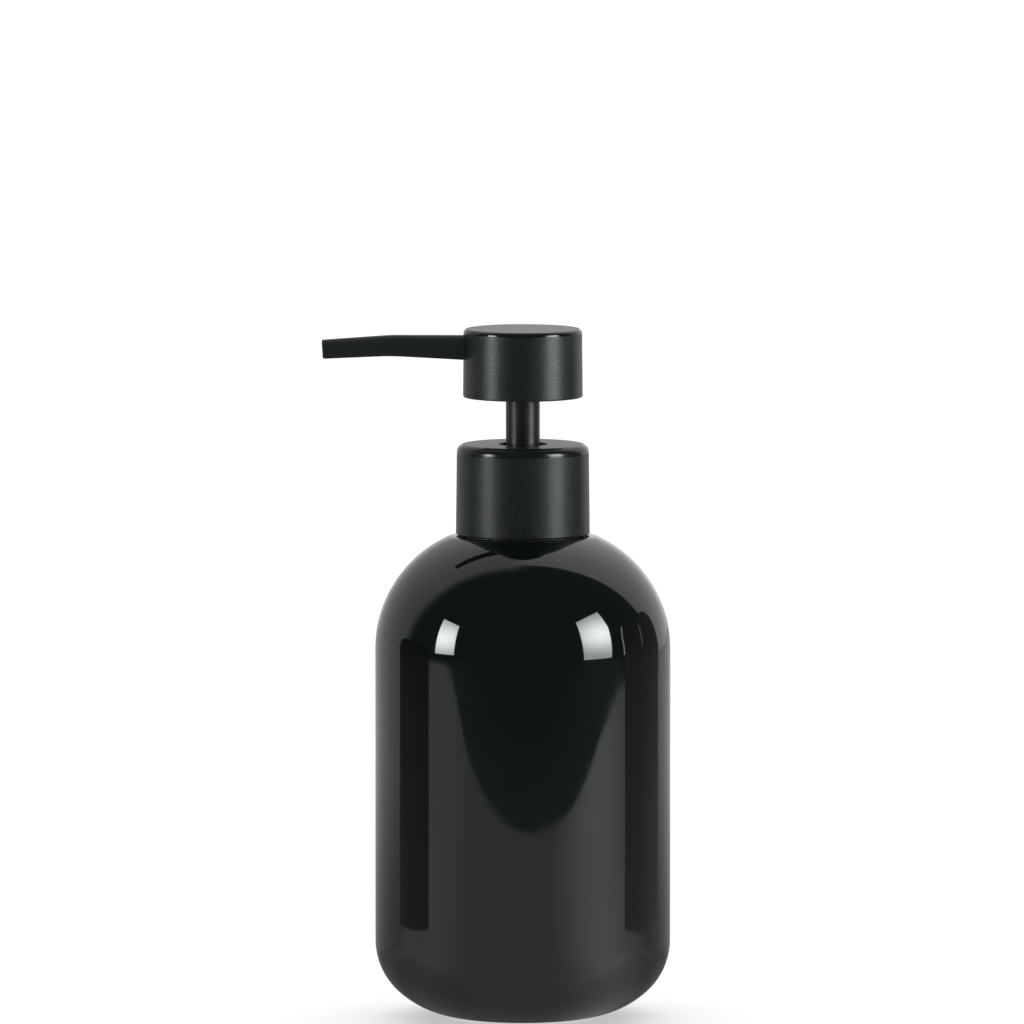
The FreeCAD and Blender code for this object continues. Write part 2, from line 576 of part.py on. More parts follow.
# ---- All pieces --------------------------------------------------------------------------------------------
PIECES = {
    "bottle": bottle,
    "base_pad": base_pad,
    "neck_insert": neck_insert,
    "neck_gasket": neck_gasket,
    "threaded_cap": threaded_cap,
    "collar_shell": collar_shell,
    "pump_housing": pump_housing,
    "chaplet": chaplet,
    "dip_tube": dip_tube,
    "inlet_ball": lambda: seated_ball(INLET_BALL_R, INLET_THROAT_Z, INLET_THROAT_R),
    "ball_cage": ball_cage,
    "return_spring": return_spring,
    "piston_seal": piston_seal,
    "piston_core": piston_core,
    "outlet_ball": lambda: seated_ball(OUTLET_BALL_R, OUTLET_THROAT_Z, OUTLET_THROAT_R),
    "pump_stem": pump_stem,
    "stem_sleeve": stem_sleeve,
    "head_shell": head_shell,
    "head_core": head_core,
    "spout_shell": spout_shell,
    "spout_tube": spout_tube,
}

for name, make in PIECES.items():
    save(make(), name)
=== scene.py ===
"""Looks of a black ceramic soap bottle with a lotion pump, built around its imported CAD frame.

Metres, +Z up, the pump axis is the Z axis and the spout points toward -X.
"""

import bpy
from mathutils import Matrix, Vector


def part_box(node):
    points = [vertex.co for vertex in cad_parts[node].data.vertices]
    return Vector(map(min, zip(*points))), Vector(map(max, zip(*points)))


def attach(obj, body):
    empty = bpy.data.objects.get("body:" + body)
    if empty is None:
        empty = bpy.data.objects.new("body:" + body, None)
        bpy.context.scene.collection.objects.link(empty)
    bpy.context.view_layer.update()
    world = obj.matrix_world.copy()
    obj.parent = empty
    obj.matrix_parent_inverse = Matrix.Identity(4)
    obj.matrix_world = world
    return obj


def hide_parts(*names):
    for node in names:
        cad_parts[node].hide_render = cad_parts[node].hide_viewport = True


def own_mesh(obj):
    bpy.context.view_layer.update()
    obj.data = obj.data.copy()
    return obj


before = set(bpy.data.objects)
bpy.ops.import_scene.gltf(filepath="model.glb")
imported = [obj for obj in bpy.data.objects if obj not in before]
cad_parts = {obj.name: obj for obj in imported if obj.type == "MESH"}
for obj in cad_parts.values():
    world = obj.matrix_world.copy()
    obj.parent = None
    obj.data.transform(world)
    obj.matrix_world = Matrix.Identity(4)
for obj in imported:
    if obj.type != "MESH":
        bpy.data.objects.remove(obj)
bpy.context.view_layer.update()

import math

import bpy
import bmesh
from mathutils import Vector, noise

MM = 0.001
scene = bpy.context.scene
scene.view_settings.view_transform = "Standard"
scene.view_settings.look = "None"


# ---- Node helpers ---------------------------------------------------------------------------------------
def new_material(name):
    """Material with a bare Principled shader."""
    material = bpy.data.materials.new(name)
    material.use_nodes = True
    tree = material.node_tree
    tree.nodes.clear()
    output = tree.nodes.new("ShaderNodeOutputMaterial")
    shader = tree.nodes.new("ShaderNodeBsdfPrincipled")
    tree.links.new(shader.outputs["BSDF"], output.inputs["Surface"])
    return material, tree, shader


def add_noise(tree, scale, detail=4.0, roughness=0.5, stretch=(1, 1, 1)):
    """Noise in object space; scale is features per metre."""
    coords = tree.nodes.new("ShaderNodeTexCoord")
    mapping = tree.nodes.new("ShaderNodeMapping")
    mapping.inputs["Scale"].default_value = stretch
    texture = tree.nodes.new("ShaderNodeTexNoise")
    texture.inputs["Scale"].default_value = scale
    texture.inputs["Detail"].default_value = detail
    texture.inputs["Roughness"].default_value = roughness
    tree.links.new(coords.outputs["Object"], mapping.inputs["Vector"])
    tree.links.new(mapping.outputs["Vector"], texture.inputs["Vector"])
    return texture.outputs["Fac"]


def ramp(tree, source, low, high, from_low=0.3, from_high=0.7):
    """A number that follows the source between two values."""
    node = tree.nodes.new("ShaderNodeMapRange")
    node.inputs["From Min"].default_value = from_low
    node.inputs["From Max"].default_value = from_high
    node.inputs["To Min"].default_value = low
    node.inputs["To Max"].default_value = high
    tree.links.new(source, node.inputs["Value"])
    return node.outputs["Result"]


def colour_ramp(tree, source, stops):
    """Colour that follows the source through the stops."""
    node = tree.nodes.new("ShaderNodeValToRGB")
    elements = node.color_ramp.elements
    while len(elements) < len(stops):
        elements.new(0.5)
    for element, (position, colour) in zip(elements, stops):
        element.position = position
        element.color = (*colour, 1.0)
    tree.links.new(source, node.inputs["Fac"])
    return node.outputs["Color"]


def add_bump(tree, shader, height, distance, under=None):
    """Bump of a height in metres, laid over another bump where one is given."""
    node = tree.nodes.new("ShaderNodeBump")
    node.inputs["Distance"].default_value = distance
    tree.links.new(height, node.inputs["Height"])
    if under is not None:
        tree.links.new(under, node.inputs["Normal"])
    tree.links.new(node.outputs["Normal"], shader.inputs["Normal"])
    return node.outputs["Normal"]


def math_in(tree):
    """Shorthand for math nodes in one tree."""
    def make(operation, first, second=None):
        node = tree.nodes.new("ShaderNodeMath")
        node.operation = operation
        for index, value in enumerate((first, second)):
            if isinstance(value, (int, float)):
                node.inputs[index].default_value = value
            elif value is not None:
                tree.links.new(value, node.inputs[index])
        return node.outputs[0]
    return make


def fade(tree, value, start, end, from_value, to_value):
    """Smooth change of a number between two places."""
    node = tree.nodes.new("ShaderNodeMapRange")
    node.interpolation_type = "SMOOTHSTEP"
    node.inputs["From Min"].default_value = start
    node.inputs["From Max"].default_value = end
    node.inputs["To Min"].default_value = from_value
    node.inputs["To Max"].default_value = to_value
    tree.links.new(value, node.inputs["Value"])
    return node.outputs["Result"]


def object_axes(tree):
    """X, Y and Z of the object's own space."""
    coords = tree.nodes.new("ShaderNodeTexCoord")
    split = tree.nodes.new("ShaderNodeSeparateXYZ")
    tree.links.new(coords.outputs["Object"], split.inputs["Vector"])
    return split.outputs["X"], split.outputs["Y"], split.outputs["Z"]


# ---- Materials ------------------------------------------------------------------------------------------
ROUND_BLEND = 0.04 * MM         # how softly a smoother round meets the grain beside it


def glaze_material():
    """Black gloss glaze: deep, faintly green black, very slight flow and orange peel."""
    material, tree, shader = new_material("black_glaze")
    body = add_noise(tree, 45, 3.0)
    colour = colour_ramp(tree, body, [(0.3, (0.0020, 0.0034, 0.0033)), (0.7, (0.0028, 0.0044, 0.0042))])
    tree.links.new(colour, shader.inputs["Base Color"])
    tree.links.new(ramp(tree, add_noise(tree, 120, 5.0), 0.028, 0.05), shader.inputs["Roughness"])
    shader.inputs["IOR"].default_value = 1.5
    flow = add_bump(tree, shader, add_noise(tree, 55, 1.0, stretch=(1, 1, 0.45)), 0.00005)
    add_bump(tree, shader, add_noise(tree, 700, 2.0), 0.0000005, under=flow)
    return material


def bisque_material():
    """Bare fired clay under the foot, where the glaze is wiped off."""
    material, tree, shader = new_material("bare_clay")
    grain = add_noise(tree, 900, 6.0)
    tree.links.new(colour_ramp(tree, grain, [(0.3, (0.28, 0.24, 0.20)), (0.7, (0.42, 0.37, 0.31))]),
                   shader.inputs["Base Color"])
    shader.inputs["Roughness"].default_value = 0.85
    add_bump(tree, shader, grain, 0.00008)
    return material


def satin_material(name, tones, rough_low, rough_high, specular, grain_height=0.000004, rounds=()):
    """Moulded black plastic with a fine eroded grain.

    Each round is a band between two heights, with the share of the roughness that is left there.
    """
    material, tree, shader = new_material(name)
    cloud = add_noise(tree, 90, 4.0)
    dark, light = tones
    tree.links.new(colour_ramp(tree, cloud, [(0.3, dark), (0.7, light)]), shader.inputs["Base Color"])
    grain = add_noise(tree, 5200, 3.0, 0.6)
    rough = ramp(tree, grain, rough_low, rough_high, 0.38, 0.62)
    calc = math_in(tree)
    for low, high, share_left in rounds:
        _, _, z = object_axes(tree)
        half = (high - low) / 2
        away = calc("ABSOLUTE", calc("SUBTRACT", z, (low + high) / 2))
        rough = calc("MULTIPLY", rough, fade(tree, away, half - ROUND_BLEND, half, share_left, 1.0))
    tree.links.new(rough, shader.inputs["Roughness"])
    shader.inputs["IOR"].default_value = 1.5
    shader.inputs["Specular IOR Level"].default_value = specular
    add_bump(tree, shader, grain, grain_height)
    return material


def natural_plastic(name, colour, deep, roughness, weight=0.25):
    """Uncoloured polypropylene or polyethylene, milky, with light passing a little way in."""
    material, tree, shader = new_material(name)
    cloud = add_noise(tree, 160, 4.0)
    tree.links.new(colour_ramp(tree, cloud, [(0.25, deep), (0.75, colour)]), shader.inputs["Base Color"])
    rough = ramp(tree, add_noise(tree, 420, 4.0), roughness, roughness + 0.08)
    tree.links.new(rough, shader.inputs["Roughness"])
    shader.inputs["IOR"].default_value = 1.49
    shader.inputs["Subsurface Weight"].default_value = weight
    shader.inputs["Subsurface Scale"].default_value = 0.002
    add_bump(tree, shader, add_noise(tree, 2600, 3.0), 0.000006)
    return material


def tube_material():
    """Clear-milky polyethylene suction tube with faint draw lines along it."""
    material, tree, shader = new_material("milky_tube")
    lines = add_noise(tree, 900, 3.0, stretch=(1, 1, 0.02))
    tree.links.new(colour_ramp(tree, lines, [(0.3, (0.74, 0.77, 0.77)), (0.7, (0.88, 0.90, 0.89))]),
                   shader.inputs["Base Color"])
    shader.inputs["Roughness"].default_value = 0.22
    shader.inputs["IOR"].default_value = 1.51
    shader.inputs["Transmission Weight"].default_value = 0.55
    add_bump(tree, shader, lines, 0.00001)
    return material


def metal_material(name, colour, roughness, stretch, scratch_height):
    """Stainless steel with fine marks."""
    material, tree, shader = new_material(name)
    marks = add_noise(tree, 2400, 4.0, stretch=stretch)
    tone = [tuple(c * k for c in colour) for k in (0.82, 1.0)]
    tint = colour_ramp(tree, marks, [(0.3, tone[0]), (0.7, tone[1])])
    tree.links.new(tint, shader.inputs["Base Color"])
    tree.links.new(ramp(tree, marks, roughness, roughness + 0.1), shader.inputs["Roughness"])
    shader.inputs["Metallic"].default_value = 1.0
    add_bump(tree, shader, marks, scratch_height)
    return material


def foam_material(name, dark, light, cells):
    """Closed-cell foam: small pits in a matt skin."""
    material, tree, shader = new_material(name)
    coords = tree.nodes.new("ShaderNodeTexCoord")
    voronoi = tree.nodes.new("ShaderNodeTexVoronoi")
    voronoi.inputs["Scale"].default_value = cells
    tree.links.new(coords.outputs["Object"], voronoi.inputs["Vector"])
    tree.links.new(colour_ramp(tree, voronoi.outputs["Distance"], [(0.0, dark), (0.6, light)]),
                   shader.inputs["Base Color"])
    shader.inputs["Roughness"].default_value = 0.8
    add_bump(tree, shader, voronoi.outputs["Distance"], 0.00006)
    return material


# ---- Mesh helpers ---------------------------------------------------------------------------------------
def arc_points(centre_r, centre_z, radius, start, end, step=1.5):
    """Points along a circle between two angles in degrees, both ends included."""
    count = max(2, int(abs(end - start) / step))
    angles = [math.radians(start + (end - start) * i / count) for i in range(count + 1)]
    return [(centre_r + radius * math.cos(a), centre_z + radius * math.sin(a)) for a in angles]


def run_points(start, end, spacing):
    """Points along a straight run, both ends included."""
    length = math.dist(start, end)
    count = max(1, int(round(length / spacing)))
    return [(start[0] + (end[0] - start[0]) * i / count, start[1] + (end[1] - start[1]) * i / count)
            for i in range(count + 1)]


def lathe(name, profile, segments, wobble=None):
    """Closed surface of revolution through (radius, z) points; points on the axis become one vertex."""
    mesh = bpy.data.meshes.new(name)
    shape = bmesh.new()
    rings = []
    for radius, z in profile:
        if rings and math.dist((radius, z), rings[-1][0]) < 1e-7:
            continue
        if radius < 1e-7:
            rings.append(((radius, z), [shape.verts.new((0, 0, z))]))
            continue
        ring = []
        for i in range(segments):
            angle = 2 * math.pi * i / segments
            r = radius + (wobble(angle, z, radius) if wobble else 0.0)
            ring.append(shape.verts.new((r * math.cos(angle), r * math.sin(angle), z)))
        rings.append(((radius, z), ring))
    pairs = list(zip(rings, rings[1:]))
    if rings[0][0][0] > 1e-7:
        pairs.append((rings[-1], rings[0]))
    for (_, low), (_, high) in pairs:
        for i in range(segments):
            j = (i + 1) % segments
            if len(low) == 1:
                shape.faces.new((low[0], high[j], high[i]))
            elif len(high) == 1:
                shape.faces.new((low[i], low[j], high[0]))
            else:
                shape.faces.new((low[i], low[j], high[j], high[i]))
    bmesh.ops.recalc_face_normals(shape, faces=shape.faces)
    shape.to_mesh(mesh)
    shape.free()
    piece = bpy.data.objects.new(name, mesh)
    scene.collection.objects.link(piece)
    shade(piece)
    return piece


def shade(piece, angle=28.0):
    """Smooth shading with sharp edges where the surface turns more than the angle."""
    mesh = piece.data
    mesh.polygons.foreach_set("use_smooth", [True] * len(mesh.polygons))
    mesh.set_sharp_from_angle(angle=math.radians(angle))


# ---- Bottle ---------------------------------------------------------------------------------------------
FOOT_R = 15.0 * MM
BASE_RISE = 19.4 * MM           # from the foot up to where the wall starts
BASE_SIDE_R = 17.5 * MM
SHOULDER_R = 31.4 * MM
SHOULDER_DROP = 29.05 * MM      # from the land down to where the shoulder starts
WALL = 4.2 * MM
LAND_EASE_R = 6.0 * MM          # soft turn from the dome into the land
MOUTH_R = 12.6 * MM
RECESS_R = 12.8 * MM            # pocket of the pad under the foot
RECESS_DEPTH = 1.0 * MM
BOTTLE_SEGMENTS = 256
UNEVEN_FROM_R = 20 * MM         # the foot and the neck stay true
UNEVEN_HEIGHT = 0.02 * MM
BARE_HEIGHT = 0.25 * MM         # foot ring wiped free of glaze up to here


def bottle_profile():
    """Outline of the jar's wall: up the outside, over the land, down the inside, and back under."""
    low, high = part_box("bottle")
    wall_r, foot_z, land_z = high.x, low.z, high.z
    side_r, side_z = wall_r - BASE_SIDE_R, foot_z + BASE_RISE
    inset = side_r - FOOT_R
    under_r = (inset ** 2 + BASE_RISE ** 2 - BASE_SIDE_R ** 2) / (2 * (BASE_RISE - BASE_SIDE_R))
    under_z = foot_z + under_r
    turn = math.degrees(math.atan2(side_z - under_z, inset))
    dome_r, dome_z = wall_r - SHOULDER_R, land_z - SHOULDER_DROP
    ease_z = land_z - LAND_EASE_R
    ease_rise = ease_z - dome_z
    ease_run = math.sqrt((SHOULDER_R - LAND_EASE_R) ** 2 - ease_rise ** 2)
    ease_deg = math.degrees(math.atan2(ease_rise, ease_run))
    inner = SHOULDER_R - WALL
    mouth_deg = math.degrees(math.acos((MOUTH_R - dome_r) / inner))
    outside = run_points((RECESS_R, foot_z), (FOOT_R, foot_z), 0.4 * MM)
    outside += arc_points(FOOT_R, under_z, under_r, -90, turn, 1.0)
    outside += arc_points(side_r, side_z, BASE_SIDE_R, turn, 0, 1.0)
    outside += run_points((wall_r, side_z), (wall_r, dome_z), 1.2 * MM)
    outside += arc_points(dome_r, dome_z, SHOULDER_R, 0, ease_deg, 0.75)
    land_r = dome_r + ease_run
    outside += arc_points(land_r, ease_z, LAND_EASE_R, ease_deg, 90, 2.0)
    inside = run_points((land_r, land_z), (MOUTH_R, land_z), 0.5 * MM)
    inside += arc_points(dome_r, dome_z, inner, mouth_deg, 0, 3.0)
    inside += arc_points(side_r, side_z, BASE_SIDE_R - WALL, 0, turn, 4.0)
    inside += arc_points(FOOT_R, under_z, under_r - WALL, turn, -90, 4.0)
    floor_z = under_z - (under_r - WALL)
    inside += [(0.0, floor_z)]
    under = [(0.0, foot_z + RECESS_DEPTH), (RECESS_R, foot_z + RECESS_DEPTH)]
    return outside, inside, under


def make_bottle():
    """Slip-cast jar: glazed all over except the foot ring, its wall a hair uneven from casting."""
    outside, inside, under = bottle_profile()

    def uneven(angle, z, radius):
        if radius < UNEVEN_FROM_R:
            return 0.0
        point = Vector((math.cos(angle), math.sin(angle), z / (60 * MM)))
        return UNEVEN_HEIGHT * noise.noise(point * 1.3)

    # One loop from axis to axis keeps the wall a single closed skin.
    piece = lathe("bottle_glazed", under + outside + inside, BOTTLE_SEGMENTS, uneven)
    low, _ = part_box("bottle")
    piece.data.materials.append(glaze_material())
    piece.data.materials.append(bisque_material())
    for face in piece.data.polygons:
        if face.center.z < low.z + BARE_HEIGHT and abs(face.normal.z) > 0.5:
            face.material_index = 1
    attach(piece, "bottle")
    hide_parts("bottle")


# ---- Spring ---------------------------------------------------------------------------------------------
WIRE_R = 0.45 * MM
SPRING_TURNS = 9.0              # two of them closed end coils
STEPS_PER_TURN = 40
WIRE_SIDES = 12
COIL_CLEARANCE = 0.06 * MM      # between the closed coils


def make_spring():
    """Round-wire spring with closed end coils."""
    low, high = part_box("return_spring")
    coil_r = high.x - WIRE_R
    bottom, top = low.z + WIRE_R, high.z - WIRE_R
    closed = 2 * WIRE_R + COIL_CLEARANCE
    active = (top - bottom - 2 * closed) / (SPRING_TURNS - 2)
    steps = int(SPRING_TURNS * STEPS_PER_TURN)
    line = []
    height = 0.0
    for step in range(steps + 1):
        angle = 2 * math.pi * step / STEPS_PER_TURN
        line.append(Vector((coil_r * math.cos(angle), coil_r * math.sin(angle), height)))
        turn = (step + 0.5) / STEPS_PER_TURN
        share = min(1.0, max(0.0, (min(turn, SPRING_TURNS - turn) - 0.75) / 0.5))
        height += (closed + (active - closed) * share * share * (3 - 2 * share)) / STEPS_PER_TURN
    stretch = (top - bottom) / line[-1].z
    line = [Vector((p.x, p.y, bottom + p.z * stretch)) for p in line]
    shape = bmesh.new()
    rings = []
    for index, point in enumerate(line):
        ahead = line[min(index + 1, steps)] - line[max(index - 1, 0)]
        ahead.normalize()
        outward = Vector((point.x, point.y, 0)).normalized()
        side = ahead.cross(outward).normalized()
        ring = []
        for k in range(WIRE_SIDES):
            a = 2 * math.pi * k / WIRE_SIDES
            ring.append(shape.verts.new(point + WIRE_R * (math.cos(a) * outward + math.sin(a) * side)))
        rings.append(ring)
    for first, second in zip(rings, rings[1:]):
        for k in range(WIRE_SIDES):
            n = (k + 1) % WIRE_SIDES
            shape.faces.new((first[k], first[n], second[n], second[k]))
    shape.faces.new(list(reversed(rings[0])))
    shape.faces.new(rings[-1])
    bmesh.ops.recalc_face_normals(shape, faces=shape.faces)
    mesh = bpy.data.meshes.new("coil_spring")
    shape.to_mesh(mesh)
    shape.free()
    piece = bpy.data.objects.new("coil_spring", mesh)
    scene.collection.objects.link(piece)
    shade(piece, 50)
    piece.data.materials.append(metal_material("spring_wire", (0.52, 0.53, 0.54), 0.2, (1, 1, 1), 0.000001))
    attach(piece, "pump_core")
    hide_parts("return_spring")
    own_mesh(piece)


# ---- Studio ---------------------------------------------------------------------------------------------
def direction(azimuth, elevation):
    """Unit vector; azimuth 0 points toward the camera's side, 90 toward +X."""
    a, e = math.radians(azimuth), math.radians(elevation)
    return Vector((math.sin(a) * math.cos(e), -math.cos(a) * math.cos(e), math.sin(e)))


def stage_sheet(name, corners, material, camera=False, glossy=True, diffuse=False, shadow=False):
    """Flat sheet of the set; by default only glossy surfaces see it."""
    mesh = bpy.data.meshes.new(name)
    mesh.from_pydata([tuple(c) for c in corners], [], [tuple(range(len(corners)))])
    item = bpy.data.objects.new(name, mesh)
    scene.collection.objects.link(item)
    mesh.materials.append(material)
    item.visible_camera = camera
    item.visible_glossy = glossy
    item.visible_diffuse = diffuse
    item.visible_transmission = diffuse
    item.visible_shadow = shadow
    return item


def emission_base(name):
    """Emission shader whose strength is still to be wired."""
    material = bpy.data.materials.new(name)
    material.use_nodes = True
    tree = material.node_tree
    tree.nodes.clear()
    output = tree.nodes.new("ShaderNodeOutputMaterial")
    shader = tree.nodes.new("ShaderNodeEmission")
    tree.links.new(shader.outputs["Emission"], output.inputs["Surface"])
    return material, tree, shader


def softbox(name, corners, hot):
    """Lit panel, brightest round the lamp behind its cloth."""
    material, tree, shader = emission_base(name)
    coords = tree.nodes.new("ShaderNodeTexCoord")
    mapping = tree.nodes.new("ShaderNodeMapping")
    mapping.inputs["Scale"].default_value = LAMP_STRETCH
    mapping.inputs["Location"].default_value = [-h * f for h, f in zip(hot, LAMP_STRETCH)]
    tree.links.new(coords.outputs["Object"], mapping.inputs["Vector"])
    length = tree.nodes.new("ShaderNodeVectorMath")
    length.operation = "LENGTH"
    tree.links.new(mapping.outputs["Vector"], length.inputs[0])
    strength = fade(tree, length.outputs["Value"], 0.0, LAMP_SPREAD, LAMP_PEAK, LAMP_RIM)
    tree.links.new(strength, shader.inputs["Strength"])
    shader.inputs["Color"].default_value = LAMP_TINT
    return stage_sheet(name, corners, material)


def black_card(name, outline, tones):
    """Self-lit sheet standing for a dark board on the table beside the object; its glow is painted light,
    paler toward its foot; outline is its top edge.
    """
    material, tree, shader = emission_base(name)
    _, _, z = object_axes(tree)
    top, foot = tones
    # Painted light: the card's glow rises from its top to its foot.
    tree.links.new(fade(tree, z, 0.0, CARD_FADE_Z, foot, top), shader.inputs["Strength"])
    corners = [(*outline[0][:2], 0)] + list(outline) + [(*outline[-1][:2], 0)]
    return stage_sheet(name, corners, material)


TABLE_GLOW = 0.61
SHEEN_RIGHT = (57, 42, 0.82)    # azimuth and reach in degrees, strength
SHEEN_LEFT = (-64, 30, 0.20)
SHADE_FROM_R = 18 * MM          # shade begins under the foot and is gone after its reach
SHADE_FRONT = 24 * MM
SHADE_REAR = 130 * MM
SHADE_GROWTH = 100 * MM         # how the reach grows round the side
SHADE_DEEPEST = 0.12


def table_material():
    """Self-lit sheet standing for the white table as the glaze sees it: painted sheen under each softbox,
    painted shade close round the foot and behind it.
    """
    material, tree, shader = emission_base("table_sheen")
    calc = math_in(tree)
    x, y, _ = object_axes(tree)
    azimuth = calc("ARCTAN2", x, calc("MULTIPLY", y, -1.0))

    def sheen(toward, reach, strength):
        off = calc("ABSOLUTE", calc("SUBTRACT", azimuth, math.radians(toward)))
        return fade(tree, off, 0.0, math.radians(reach), strength, 0.0)

    glow = calc("ADD", calc("ADD", sheen(*SHEEN_RIGHT), sheen(*SHEEN_LEFT)), TABLE_GLOW)
    away = calc("SQRT", calc("ADD", calc("MULTIPLY", x, x), calc("MULTIPLY", y, y)))
    round_side = calc("POWER", calc("SUBTRACT", 1.0, calc("COSINE", azimuth)), 1.5)
    reach = calc("ADD", calc("MULTIPLY", round_side, SHADE_GROWTH), SHADE_FRONT)
    reach = calc("MINIMUM", reach, SHADE_REAR)
    clear = calc("MAXIMUM", calc("SUBTRACT", away, SHADE_FROM_R), 0.0)
    share = calc("MINIMUM", calc("DIVIDE", clear, reach), 1.0)
    shade_near = calc("ADD", calc("MULTIPLY", share, 1.0 - SHADE_DEEPEST), SHADE_DEEPEST)
    # Painted shade behind the object, lifting further back and a touch lighter to the right.
    rear = fade(tree, y, 0.0, 0.06, 0.0, 1.0)
    rear_side = fade(tree, x, -0.1, 0.1, 1.0, 1.02)
    rear_shade = calc("MULTIPLY", fade(tree, away, 0.12, 0.70, 0.50, 0.95), rear_side)
    shade_back = calc("ADD", calc("MULTIPLY", rear, rear_shade), calc("SUBTRACT", 1.0, rear))
    shade = calc("MULTIPLY", shade_near, shade_back)
    tree.links.new(calc("MULTIPLY", glow, shade), shader.inputs["Strength"])
    shader.inputs["Color"].default_value = (0.96, 1.0, 0.99, 1.0)
    return material


def floor_material():
    """Pale floor, partly self-lit so that it stays even."""
    material, tree, shader = new_material("pale_floor")
    tone = add_noise(tree, 6, 2.0)
    pale = colour_ramp(tree, tone, [(0.3, (0.45,) * 3), (0.7, (0.46,) * 3)])
    tree.links.new(pale, shader.inputs["Base Color"])
    shader.inputs["Roughness"].default_value = 0.9
    shader.inputs["Emission Color"].default_value = (1, 1, 1, 1)
    shader.inputs["Emission Strength"].default_value = 0.5
    shader.inputs["Specular IOR Level"].default_value = 0.1
    return material


TABLE_OUTLINE = [
    (-0.90, -0.30), (-0.83, -0.42), (-0.74, -0.484), (-0.62, -0.500), (-0.33, -0.495), (-0.02, -0.475),
    (0.14, -0.455), (0.33, -0.417), (0.48, -0.388), (0.62, -0.350), (0.74, -0.265), (0.82, -0.172),
    (0.90, 0.05), (1.0, 2.5), (-1.0, 2.5)]
SOFTBOX_LEFT = [
    (-0.881, -0.299, 0.093), (-0.757, -0.546, 0.092), (-0.700, -0.510, 0.473), (-0.787, -0.277, 0.506)]
SOFTBOX_RIGHT = [
    (0.692, -0.625, 0.033), (0.884, -0.286, 0.044), (0.855, -0.256, 0.406), (0.745, -0.270, 0.590),
    (0.590, -0.574, 0.534)]
LAMP_LEFT = (-0.830, -0.395, 0.29)
LAMP_RIGHT = (0.810, -0.385, 0.33)
LAMP_PEAK, LAMP_RIM = 21.0, 6.5
LAMP_STRETCH = (0.5, 0.5, 1.0)  # the glow is twice as wide as it is high
LAMP_SPREAD = 0.28
LAMP_TINT = (0.95, 0.985, 1.0, 1.0)
CARD_LEFT = [
    (-0.225, -0.068, 0.100), (-0.2255, -0.055, 0.110), (-0.226, -0.031, 0.116), (-0.226, 0.004, 0.118),
    (-0.227, 0.038, 0.117), (-0.227, 0.052, 0.112), (-0.227, 0.059, 0.098)]
CARD_RIGHT = [
    (0.232, -0.038, 0.158), (0.222, 0.010, 0.162), (0.213, 0.055, 0.168), (0.207, 0.085, 0.165),
    (0.203, 0.105, 0.153), (0.201, 0.115, 0.140), (0.199, 0.124, 0.115), (0.197, 0.134, 0.080)]
# Painted glow of each card, at the top and at the foot.
CARD_LEFT_GLOWS = (0.05, 0.16)  # at the top and at the foot
CARD_RIGHT_GLOWS = (0.11, 0.26)
CARD_FADE_Z = 0.11
# Slits of light beside the right card: name, strength, the point they face, azimuths and elevations.
GAPS = [
    ("gap_near", 3.2, (0.0255, -0.027, 0.1),
     ((85.9, -4), (87.3, -4), (86.6, 9), (89.0, 17), (87.8, 17), (85.4, 9))),
    ("gap_far", 0.62, (0.0295, -0.022, 0.1), ((107.0, 0), (109.0, 0), (109.4, 12), (107.4, 14)))]
GAP_DISTANCE = 0.19
ROOM_TINT = (0.86, 1.0, 1.0, 1.0)
ROOM_GLOW = 0.09                # light from the room where nothing else stands
SKIRT_CORNERS = [(-1.2, -1.6, -0.002), (1.2, -1.6, -0.002), (1.2, -0.15, -0.002), (-1.2, -0.15, -0.002)]
SKIRT_FADE = (-0.95, -0.45, 0.09, 0.17)     # from y, to y, glow at each
FLOOR_HALF = 6.0
FLOOR_DROP = -0.05 * MM         # the camera's floor lies a hair under the table that the glaze mirrors
SUN_ENERGY = 2.75
SUN_ANGLE = 100                 # degrees, as wide as an overcast sky


def make_studio():
    """Lamps, cards, table and floor round the object."""
    softbox("softbox_left", SOFTBOX_LEFT, LAMP_LEFT)
    softbox("softbox_right", SOFTBOX_RIGHT, LAMP_RIGHT)
    black_card("card_left", CARD_LEFT, CARD_LEFT_GLOWS)
    black_card("card_right", CARD_RIGHT, CARD_RIGHT_GLOWS)
    for name, strength, place, edges in GAPS:
        strip, tree, shader = emission_base(name)
        shader.inputs["Strength"].default_value = strength
        stage_sheet(name, [Vector(place) + direction(a, e) * GAP_DISTANCE for a, e in edges], strip)
    # Self-lit sheet standing for the room's floor beyond the table, as the glaze sees it: its glow is
    # painted light, brighter toward the table.
    skirt, tree, shader = emission_base("room_floor")
    _, y, _ = object_axes(tree)
    tree.links.new(fade(tree, y, *SKIRT_FADE), shader.inputs["Strength"])
    shader.inputs["Color"].default_value = ROOM_TINT
    stage_sheet("room_floor", SKIRT_CORNERS, skirt)
    stage_sheet("table", [(x, y, 0) for x, y in TABLE_OUTLINE], table_material())
    signs = ((-1, -1), (1, -1), (1, 1), (-1, 1))
    stage_sheet("floor", [(FLOOR_HALF * x, FLOOR_HALF * y, FLOOR_DROP) for x, y in signs], floor_material(),
                camera=True, glossy=False, diffuse=True, shadow=True)
    sky = bpy.data.lights.new("overhead", "SUN")
    sky.energy = SUN_ENERGY
    sky.angle = math.radians(SUN_ANGLE)
    lamp = bpy.data.objects.new("overhead", sky)
    scene.collection.objects.link(lamp)
    lamp.visible_glossy = False


# Wall: how its edge leans with height, where it begins and is full, and its glow.
WALL_LEFT = (0.26, 0.15, 0.33, 0.50)
WALL_RIGHT = (0.478, 0.515, 0.545, 0.80)
WALL_HIGH_GAIN = 1.32
RIGHT_SIDE = (-0.14, 0.10)      # x over which the left wall gives way to the right one
BEHIND_GLOW = 0.18
LOW_RIGHT_GLOW = 0.8
BRIGHT_TINT = (1.0, 1.0, 0.985)
BRIGHT_SHARE = 1.6


